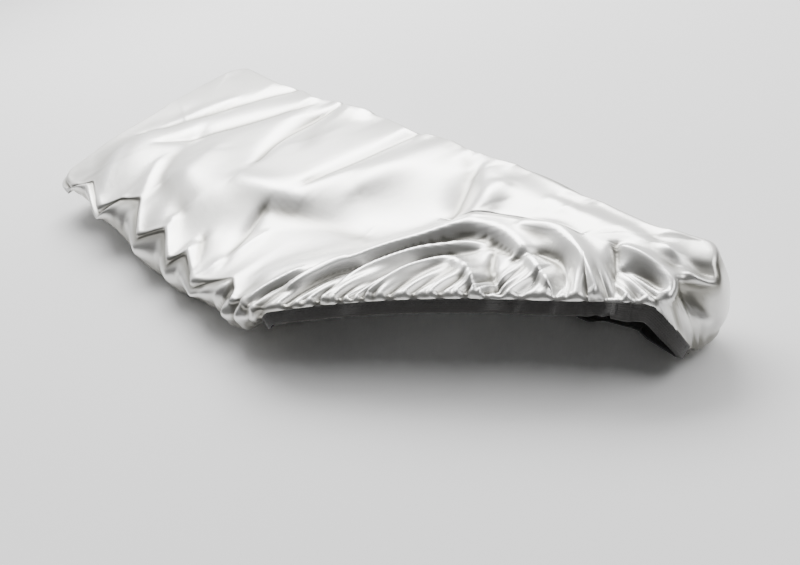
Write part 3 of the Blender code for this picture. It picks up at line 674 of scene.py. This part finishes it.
def cloth_points():
    """The cloth's outer face as columns by rows of points, and the painted shade and highlight at
    each.
    """
    plan = outline(COLUMNS)
    hem = hem_course(plan)
    cover = smooth_cover(plan, hem)
    height = cover.height + corner_lift(cover, hem)
    folds = np.zeros_like(height)
    for fold in TOP_FOLDS:
        folds += fold_height(fold, cover.top[..., 0], cover.top[..., 1])
    for drape in DRAPES:
        folds += drape_height(drape, cover.top[..., 0], cover.top[..., 1])
    folds *= np.cos(cover.on_shoulder * math.pi / 2) ** 0.5 * (1.0 - cover.on_wall)
    folds *= ease(cover.run_left / FOLDS_HELD)
    creases = np.zeros_like(height)
    for fold in EDGE_CREASES:
        creases += fold_height(fold, plan.around[:, None], cover.depth)
    creases *= hem.walled[:, None] * (1.0 - cover.on_turn)
    bulge = WALL_BULGE * np.sin(math.pi * cover.on_wall) * hem.walled[:, None]
    row = np.arange(LAST_ROW + 1)[None, :]
    stand = folds + bulge + (creases + gathers(cover, hem)) * ease(row / SPINE_HELD_ROWS)
    points = np.concatenate([cover.place, height[..., None]], 2)
    # Painted shade near the loose corner's hem, fading towards the right and turning to painted
    # light in its right part
    share = np.clip((cover.top - hem.left) @ hem.chord / hem.length, 0.0, 1.0)
    loose = (np.exp(-(cover.run_left / LOOSE_REACH) ** 2) * (1.0 - hem.walled)[:, None]
             * cover.outer * (1.0 - LOOSE_TURN * share))
    # Painted shade in the troughs of folds and painted highlight on their ridges, less the
    # painted shade of the walls and the loose corner
    crease = crease_depth(stand) - HOLLOW_SHADE * cover.painted_wall_shade - LOOSE_SHADE * loose
    return points + cover.facing * stand[..., None], np.clip(crease, 0.0, 1.0)


def lay_grid(points, name, size, closed=True, crease=None):
    """A mesh whose grid of vertices lies on columns by rows of points.

    Columns close round unless told otherwise and rows stay open. The UV map holds the flat
    sheet, of the given size in metres, and the float attribute the painted shade and painted
    highlight at each vertex."""
    columns, rows = points.shape[:2]
    spans = columns if closed else columns - 1
    net = bmesh.new()
    bmesh.ops.create_grid(net, x_segments=spans, y_segments=rows - 1, size=0.5)
    flat = net.loops.layers.uv.new("flat sheet")
    for face in net.faces:
        face.smooth = True
        for loop in face.loops:
            loop[flat].uv = ((loop.vert.co.x + 0.5) * size[0], (loop.vert.co.y + 0.5) * size[1])
    fold = net.verts.layers.float.new("crease")
    for vert in net.verts:
        column = round((vert.co.x + 0.5) * spans) % columns
        row = round((vert.co.y + 0.5) * (rows - 1))
        vert.co = points[column, row]
        if crease is not None:
            vert[fold] = crease[column, row]
    bmesh.ops.remove_doubles(net, verts=net.verts[:], dist=WELD)
    bmesh.ops.dissolve_degenerate(net, edges=net.edges[:], dist=WELD)
    bmesh.ops.recalc_face_normals(net, faces=net.faces[:])
    return finish_piece(net, name)


def finish_piece(net, name):
    """The net as a piece of the scene."""
    mesh = bpy.data.meshes.new(name)
    net.to_mesh(mesh)
    net.free()
    piece = bpy.data.objects.new(name, mesh)
    bpy.context.scene.collection.objects.link(piece)
    return piece


def make_cloth(points, crease):
    """The cloth, coated side out and given its thickness inwards."""
    cloth = lay_grid(points, "silver_cover", CLOTH_FLAT, crease=crease)
    wall = cloth.modifiers.new("thickness", "SOLIDIFY")
    wall.thickness = CLOTH_THICKNESS
    wall.offset = -1.0
    wall.material_offset = 1
    cloth.data.materials.append(silver_finish())
    cloth.data.materials.append(reverse_finish())
    return cloth


def hem_frame(points):
    """Points along the hem with the way the tape runs, hangs and faces."""
    line = points[:, -1, :]
    along = unit(np.roll(line, -1, axis=0) - np.roll(line, 1, axis=0))
    hang = unit(points[:, -1, :] - points[:, -1 - HANG_ROWS, :])
    for _ in range(HANG_SMOOTHINGS):
        hang = unit(even_out(hang))
        along = unit(even_out(along))
    hang = unit(hang - along * np.sum(hang * along, axis=1, keepdims=True))
    face = np.cross(hang, along)
    if np.sum(face[0] * (line[0] - np.mean(line, axis=0))) < 0.0:
        face = -face
    step = np.linalg.norm(np.roll(line, -1, axis=0) - line, axis=1)
    return SimpleNamespace(middle=line - face * CLOTH_THICKNESS / 2, along=along, hang=hang,
                           face=face, run=np.concatenate(([0.0], np.cumsum(step))))


def tape_section(wide, half):
    """The folded tape's section as pairs of depth below the hem and distance from its middle."""
    across = np.arange(0.0, wide - PLAIN_EDGE, RIB_PITCH / RIB_POINTS)
    rib = half + RIB_HEIGHT * np.sin(math.tau * across / RIB_PITCH)
    groove = CLOTH_THICKNESS / 2 + GROOVE_PLAY
    lip = half - LIP_THINNER
    bend = FOLD_THINNER * half
    section = [(-LIP_OVER_CLOTH, groove), (-LIP_OVER_CLOTH, lip)]
    section += list(zip(across, rib))
    section += [(wide - FOLD_ROUND, bend), (wide, 0.0), (wide - FOLD_ROUND, -bend)]
    section += list(zip(across[::-1], -rib[::-1]))
    section += [(-LIP_OVER_CLOTH, -lip), (-LIP_OVER_CLOTH, -groove)]
    section += [(GROOVE_DEEP, -groove), (GROOVE_DEEP, groove), (-LIP_OVER_CLOTH, groove)]
    return np.array(section)


def tape_rings(hem, columns, wide, half):
    """Rings of the tape's section at the given columns; wide is a width for each column."""
    narrow = tape_section(BAND_WIDTH, half)
    stretch = np.where(narrow[None, :, 0] > PLAIN_EDGE, wide[:, None] / BAND_WIDTH, 1.0)
    down = narrow[None, :, 0] * stretch
    return (hem.middle[columns][:, None, :]
            + hem.hang[columns][:, None, :] * down[..., None]
            + hem.face[columns][:, None, :] * narrow[None, :, 1, None])


def join_column(hem):
    """The column where the tape's ends overlap."""
    return int(np.argmin(np.linalg.norm(hem.middle - np.array(TAPE_JOIN), axis=1)))


def tape_width(hem, columns):
    """The tape is a little wider past its join, as far as the right end."""
    past = (join_column(hem) - columns) % COLUMNS
    return np.where(past > COLUMNS - WIDE_COLUMNS, BAND_WIDTH + WIDE_MORE, BAND_WIDTH)


def make_binding(hem):
    """A ribbed tape folded over the hem, all the way round."""
    columns = np.arange(0, COLUMNS, BAND_STEP)
    rings = tape_rings(hem, columns, tape_width(hem, columns), BAND_HALF)
    return lay_grid(rings, "elastic_tape", (hem.run[-1], TAPE_FLAT_WIDTH))


def make_join(hem):
    """The end of the tape, lapped over its other end."""
    first = join_column(hem)
    columns = np.arange(first, first + JOIN_COLUMNS) % COLUMNS
    wide = np.full(len(columns), BAND_WIDTH + JOIN_WIDER)
    rings = tape_rings(hem, columns, wide, BAND_HALF + JOIN_THICKER)
    piece = lay_grid(rings, "tape_join", (JOIN_FLAT_LENGTH, TAPE_FLAT_WIDTH), closed=False)
    ends = bmesh.new()
    ends.from_mesh(piece.data)
    bmesh.ops.holes_fill(ends, edges=[edge for edge in ends.edges if edge.is_boundary])
    bmesh.ops.recalc_face_normals(ends, faces=ends.faces[:])
    ends.to_mesh(piece.data)
    ends.free()
    return piece


def add_stitch(net, place, along, across, out, length):
    """One stitch, a short round of thread lying in the tape."""
    turned = Matrix((Vector(along) * length / 2, Vector(across) * THREAD / 2,
                     Vector(out) * THREAD / 2)).transposed().to_4x4()
    turned.translation = Vector(place)
    bmesh.ops.create_icosphere(net, subdivisions=1, radius=1.0, matrix=turned)


def make_stitches(hem):
    """The row that holds the tape to the hem, and the bar across its join."""
    net = bmesh.new()
    count = int(hem.run[-1] / STITCH_PITCH)
    for stitch in range(count):
        column = int(np.searchsorted(hem.run, stitch * hem.run[-1] / count)) % COLUMNS
        place = hem.middle[column] + hem.hang[column] * STITCH_DOWN
        place = place + hem.face[column] * BAND_HALF
        add_stitch(net, place, hem.along[column], hem.hang[column], hem.face[column],
                   STITCH_PITCH * STITCH_SHARE)
    bar = (join_column(hem) + BAR_COLUMN) % COLUMNS
    for stitch in range(BAR_STITCHES):
        down = mix(BAR_TOP, BAND_WIDTH - BAR_FOOT, stitch / (BAR_STITCHES - 1))
        place = hem.middle[bar] + hem.hang[bar] * down + hem.face[bar] * (BAND_HALF + BAR_PROUD)
        add_stitch(net, place, hem.along[bar], hem.hang[bar], hem.face[bar], BAR_STITCH)
    for face in net.faces:
        face.smooth = True
    return finish_piece(net, "hem_stitches")


def new_group(name, numbers, results):
    """An empty shader group with a vector and number inputs and value outputs."""
    group = bpy.data.node_groups.new(name, "ShaderNodeTree")
    group.interface.new_socket("Vector", in_out="INPUT", socket_type="NodeSocketVector")
    for label, value in numbers:
        socket = group.interface.new_socket(label, in_out="INPUT", socket_type="NodeSocketFloat")
        socket.default_value = value
    for label in results:
        group.interface.new_socket(label, in_out="OUTPUT", socket_type="NodeSocketFloat")
    return group, group.nodes.new("NodeGroupInput"), group.nodes.new("NodeGroupOutput")


def math_node(tree, operation, first, second=None):
    """A sum on one or two inputs, each a number or another node's output."""
    node = tree.nodes.new("ShaderNodeMath")
    node.operation = operation
    for socket, value in zip(node.inputs, (first, second)):
        if value is None:
            continue
        if isinstance(value, float):
            socket.default_value = value
        else:
            tree.links.new(value, socket)
    return node.outputs["Value"]


def weave_group():
    """Fine crossed threads on a flat pair of coordinates: height, and painted shade between them.
    """
    group, given, put = new_group("fine weave", (("Pitch", 0.0006),), ("Height", "Shade"))
    parts = group.nodes.new("ShaderNodeSeparateXYZ")
    group.links.new(given.outputs["Vector"], parts.inputs["Vector"])
    waves = []
    for axis in ("X", "Y"):
        turns = math_node(group, "DIVIDE", parts.outputs[axis], given.outputs["Pitch"])
        turns = math_node(group, "MULTIPLY", turns, math.tau)
        waves.append(math_node(group, "SINE", turns))
    crossed = math_node(group, "MULTIPLY", waves[0], waves[1])
    height = math_node(group, "MULTIPLY_ADD", crossed, 0.5)
    height.node.inputs[2].default_value = 0.5
    group.links.new(height, put.inputs["Height"])
    shade = math_node(group, "POWER", height, 0.5)
    group.links.new(shade, put.inputs["Shade"])
    return group


def mottle_group():
    """Slow uneven patches and small soft wrinkles."""
    group, given, put = new_group("mottle", (("Patches", 9.0), ("Wrinkles", 70.0)),
                                  ("Patch", "Wrinkle"))
    for scale, detail, result in (("Patches", 3.0, "Patch"), ("Wrinkles", 2.0, "Wrinkle")):
        noise = group.nodes.new("ShaderNodeTexNoise")
        noise.inputs["Detail"].default_value = detail
        noise.inputs["Roughness"].default_value = 0.55
        noise.inputs["Distortion"].default_value = 0.4
        group.links.new(given.outputs["Vector"], noise.inputs["Vector"])
        group.links.new(given.outputs[scale], noise.inputs["Scale"])
        group.links.new(noise.outputs["Fac"], put.inputs[result])
    return group


def use_group(tree, name, vector, numbers):
    """A shader group laid on a vector, with its numbers."""
    node = tree.nodes.new("ShaderNodeGroup")
    node.node_tree = bpy.data.node_groups[name]
    tree.links.new(vector, node.inputs["Vector"])
    for label, value in numbers.items():
        node.inputs[label].default_value = value
    return node


def ramp(tree, value, stops):
    """A colour ramp with stops of place and colour."""
    node = tree.nodes.new("ShaderNodeValToRGB")
    tree.links.new(value, node.inputs["Fac"])
    stretch = node.color_ramp.elements
    while len(stretch) < len(stops):
        stretch.new(0.5)
    for element, (place, colour) in zip(stretch, stops):
        element.position = place
        element.color = (*colour, 1.0)
    return node.outputs["Color"]


def span(tree, value, low, high):
    """A value from 0 to 1 spread between low and high."""
    node = tree.nodes.new("ShaderNodeMapRange")
    node.inputs["To Min"].default_value = low
    node.inputs["To Max"].default_value = high
    tree.links.new(value, node.inputs["Value"])
    return node.outputs["Result"]


def tint(tree, colour, value, low, high):
    """A colour made darker and lighter by a value."""
    node = tree.nodes.new("ShaderNodeMix")
    node.data_type = "RGBA"
    node.blend_type = "MULTIPLY"
    node.inputs["Factor"].default_value = 1.0
    tree.links.new(colour, node.inputs["A"])
    shade = ramp(tree, value, ((0.2, (low, low, low)), (0.8, (high, high, high))))
    tree.links.new(shade, node.inputs["B"])
    return node.outputs["Result"]


def relief(tree, height, depth, over=None):
    """A bump of the given depth in metres, over another one if given."""
    node = tree.nodes.new("ShaderNodeBump")
    node.inputs["Distance"].default_value = depth
    node.inputs["Strength"].default_value = 1.0
    tree.links.new(height, node.inputs["Height"])
    if over is not None:
        tree.links.new(over, node.inputs["Normal"])
    return node.outputs["Normal"]


def flat_way(tree):
    """Object coordinates laid flat, so that threads cross on the top and on every wall."""
    coordinate = tree.nodes.new("ShaderNodeTexCoord")
    parts = tree.nodes.new("ShaderNodeSeparateXYZ")
    tree.links.new(coordinate.outputs["Object"], parts.inputs["Vector"])
    along = math_node(tree, "MULTIPLY_ADD", parts.outputs["Z"], WALL_WAY_ALONG)
    tree.links.new(parts.outputs["X"], along.node.inputs[2])
    across = math_node(tree, "MULTIPLY_ADD", parts.outputs["Z"], WALL_WAY_ACROSS)
    tree.links.new(parts.outputs["Y"], across.node.inputs[2])
    joined = tree.nodes.new("ShaderNodeCombineXYZ")
    tree.links.new(along, joined.inputs["X"])
    tree.links.new(across, joined.inputs["Y"])
    return coordinate.outputs["Object"], joined.outputs["Vector"]


def silver_finish():
    """Silver coated stretch cloth: satin, a fine weave, painted shade in creases, on the walls
    and near the loose hem, and painted highlight on ridges.
    """
    finish = plain_material("silver coated cloth", (0.80, 0.80, 0.79), SILVER_METAL, 0.36)
    tree = finish.node_tree
    shader = tree.nodes["Principled BSDF"]
    shader.inputs["Coat Weight"].default_value = 0.12
    shader.inputs["Coat Roughness"].default_value = 0.35
    solid, flat = flat_way(tree)
    weave = use_group(tree, "fine weave", flat, {"Pitch": CLOTH_PITCH})
    mottle = use_group(tree, "mottle", solid, {"Patches": 7.0, "Wrinkles": 85.0})
    # Its colour holds painted shade in troughs, on the walls and near the loose corner's hem, and
    # painted highlight on ridges
    fold = tree.nodes.new("ShaderNodeAttribute")
    fold.attribute_name = "crease"
    colour = ramp(tree, fold.outputs["Fac"], SILVER_SHADING_STOPS)
    colour = tint(tree, colour, mottle.outputs["Patch"], 0.95, 1.0)
    # Painted shade between the threads
    colour = tint(tree, colour, weave.outputs["Shade"], 0.96, 1.0)
    tree.links.new(colour, shader.inputs["Base Color"])
    tree.links.new(span(tree, mottle.outputs["Patch"], *SILVER_ROUGHNESS),
                   shader.inputs["Roughness"])
    small = relief(tree, mottle.outputs["Wrinkle"], SILVER_WRINKLE)
    tree.links.new(relief(tree, weave.outputs["Height"], SILVER_WEAVE, small),
                   shader.inputs["Normal"])
    return finish


def reverse_finish():
    """The uncoated inside of the cloth: pale grey and matt."""
    finish = plain_material("cloth reverse", (0.50, 0.50, 0.49), 0.0, 0.85)
    tree = finish.node_tree
    shader = tree.nodes["Principled BSDF"]
    shader.inputs["Sheen Weight"].default_value = 0.2
    solid, flat = flat_way(tree)
    weave = use_group(tree, "fine weave", flat, {"Pitch": CLOTH_PITCH})
    mottle = use_group(tree, "mottle", solid, {"Patches": 9.0, "Wrinkles": 60.0})
    colour = ramp(tree, mottle.outputs["Patch"], REVERSE_STOPS)
    # Painted shade between the threads
    colour = tint(tree, colour, weave.outputs["Shade"], 0.80, 1.0)
    tree.links.new(colour, shader.inputs["Base Color"])
    tree.links.new(relief(tree, weave.outputs["Height"], REVERSE_WEAVE),
                   shader.inputs["Normal"])
    return finish


def tape_finish():
    """Charcoal elastic: ribs along it, a knit across them, painted shade between the threads and
    lighter crests.
    """
    finish = plain_material("charcoal elastic", (0.05, 0.05, 0.05), 0.0, 0.78)
    tree = finish.node_tree
    shader = tree.nodes["Principled BSDF"]
    shader.inputs["Sheen Weight"].default_value = 0.25
    shader.inputs["Sheen Roughness"].default_value = 0.5
    flat = tree.nodes.new("ShaderNodeUVMap")
    flat.uv_map = "flat sheet"
    weave = use_group(tree, "fine weave", flat.outputs["UV"], {"Pitch": TAPE_PITCH})
    mottle = use_group(tree, "mottle", flat.outputs["UV"], {"Patches": 30.0, "Wrinkles": 300.0})
    # Painted shade between the threads, lighter on their crests
    colour = ramp(tree, weave.outputs["Shade"], CHARCOAL_STOPS)
    colour = tint(tree, colour, mottle.outputs["Patch"], 0.8, 1.0)
    tree.links.new(colour, shader.inputs["Base Color"])
    tree.links.new(span(tree, mottle.outputs["Wrinkle"], *TAPE_ROUGHNESS),
                   shader.inputs["Roughness"])
    tree.links.new(relief(tree, weave.outputs["Height"], TAPE_WEAVE), shader.inputs["Normal"])
    return finish


def thread_finish():
    """Dark sewing thread with a twist."""
    finish = plain_material("dark thread", (0.03, 0.03, 0.03), 0.0, 0.6)
    tree = finish.node_tree
    shader = tree.nodes["Principled BSDF"]
    coordinate = tree.nodes.new("ShaderNodeTexCoord")
    mottle = use_group(tree, "mottle", coordinate.outputs["Object"],
                       {"Patches": 400.0, "Wrinkles": 1800.0})
    colour = ramp(tree, mottle.outputs["Patch"], THREAD_STOPS)
    tree.links.new(colour, shader.inputs["Base Color"])
    tree.links.new(relief(tree, mottle.outputs["Wrinkle"], THREAD_TWIST),
                   shader.inputs["Normal"])
    return finish


def floor_finish():
    """Pale seamless floor, very slightly uneven."""
    finish = plain_material("pale floor", (0.9, 0.9, 0.9), 0.0, 0.8)
    tree = finish.node_tree
    coordinate = tree.nodes.new("ShaderNodeTexCoord")
    mottle = use_group(tree, "mottle", coordinate.outputs["Object"], {"Patches": 1.0})
    colour = ramp(tree, mottle.outputs["Patch"], FLOOR_STOPS)
    tree.links.new(colour, tree.nodes["Principled BSDF"].inputs["Base Color"])
    return finish


def plain_material(name, colour, metallic, roughness):
    """A finish before its nodes are added."""
    finish = bpy.data.materials.new(name)
    finish.use_nodes = True
    shader = finish.node_tree.nodes["Principled BSDF"]
    shader.inputs["Base Color"].default_value = (*colour, 1.0)
    shader.inputs["Metallic"].default_value = metallic
    shader.inputs["Roughness"].default_value = roughness
    return finish


def set_camera():
    """The view that the photograph was taken from."""
    camera = bpy.data.cameras.new("view")
    camera.lens = VIEW_LENS
    camera.sensor_width = 36.0
    camera.clip_start = 0.01
    holder = bpy.data.objects.new("view", camera)
    bpy.context.scene.collection.objects.link(holder)
    forward = Vector(VIEW_FORWARD).normalized()
    right = Vector(VIEW_RIGHT).normalized()
    up = right.cross(forward)
    turned = Matrix((right, up, -forward)).transposed().to_4x4()
    turned.translation = Vector(VIEW_PLACE)
    holder.matrix_world = turned
    bpy.context.scene.camera = holder


def set_light(name, place, size, power):
    """A flat lamp turned to the middle of the cover."""
    lamp = bpy.data.lights.new(name, "AREA")
    lamp.shape = "RECTANGLE"
    lamp.size = size[0]
    lamp.size_y = size[1]
    lamp.energy = power
    holder = bpy.data.objects.new(name, lamp)
    holder.location = place
    holder.rotation_euler = (-Vector(place)).to_track_quat("-Z", "Y").to_euler()
    bpy.context.scene.collection.objects.link(holder)


def set_sky():
    """Studio surroundings: bright above and behind the cover, dim on the camera's side."""
    world = bpy.data.worlds.new("studio")
    world.use_nodes = True
    tree = world.node_tree
    coordinate = tree.nodes.new("ShaderNodeTexCoord")
    toward = tree.nodes.new("ShaderNodeVectorMath")
    toward.operation = "DOT_PRODUCT"
    toward.inputs[1].default_value = Vector(SKY_BRIGHT_WAY).normalized()
    tree.links.new(coordinate.outputs["Generated"], toward.inputs[0])
    fade = tree.nodes.new("ShaderNodeMapRange")
    fade.interpolation_type = "SMOOTHSTEP"
    fade.inputs["From Min"].default_value = SKY_BRIGHT_FROM
    fade.inputs["From Max"].default_value = 1.0
    fade.inputs["To Min"].default_value = SKY_DIM
    fade.inputs["To Max"].default_value = SKY_BRIGHT
    tree.links.new(toward.outputs["Value"], fade.inputs["Value"])
    background = tree.nodes["Background"]
    background.inputs["Color"].default_value = (1.0, 1.0, 1.0, 1.0)
    tree.links.new(fade.outputs["Result"], background.inputs["Strength"])
    bpy.context.scene.world = world


def set_studio():
    """Floor, lamps and sky."""
    bpy.ops.mesh.primitive_plane_add(size=FLOOR_SIZE, location=(0.0, 0.0, FLOOR))
    floor = bpy.context.object
    floor.name = "floor"
    floor.data.materials.append(floor_finish())
    for lamp in LAMPS:
        set_light(lamp.name, (lamp.x, lamp.y, lamp.z), (lamp.wide, lamp.deep), lamp.power)
    set_sky()


def ride_all(pieces):
    """Each piece rides with the cover and takes its place, from the table of pieces."""
    for piece, node, slot in pieces:
        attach(piece, "root")
        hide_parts(node)


points, crease = cloth_points()
hem = hem_frame(points)
weave_group()
mottle_group()
cloth = make_cloth(points, crease)
binding = make_binding(hem)
join = make_join(hem)
stitches = make_stitches(hem)
for piece in (binding, join):
    piece.data.materials.append(tape_finish())
stitches.data.materials.append(thread_finish())
ride_all(((cloth, "cover_cloth", "silver_cloth"),
          (binding, "elastic_binding", "charcoal_elastic"),
          (join, "elastic_binding", "charcoal_elastic"),
          (stitches, "elastic_binding", "charcoal_elastic")))
set_camera()
set_studio()
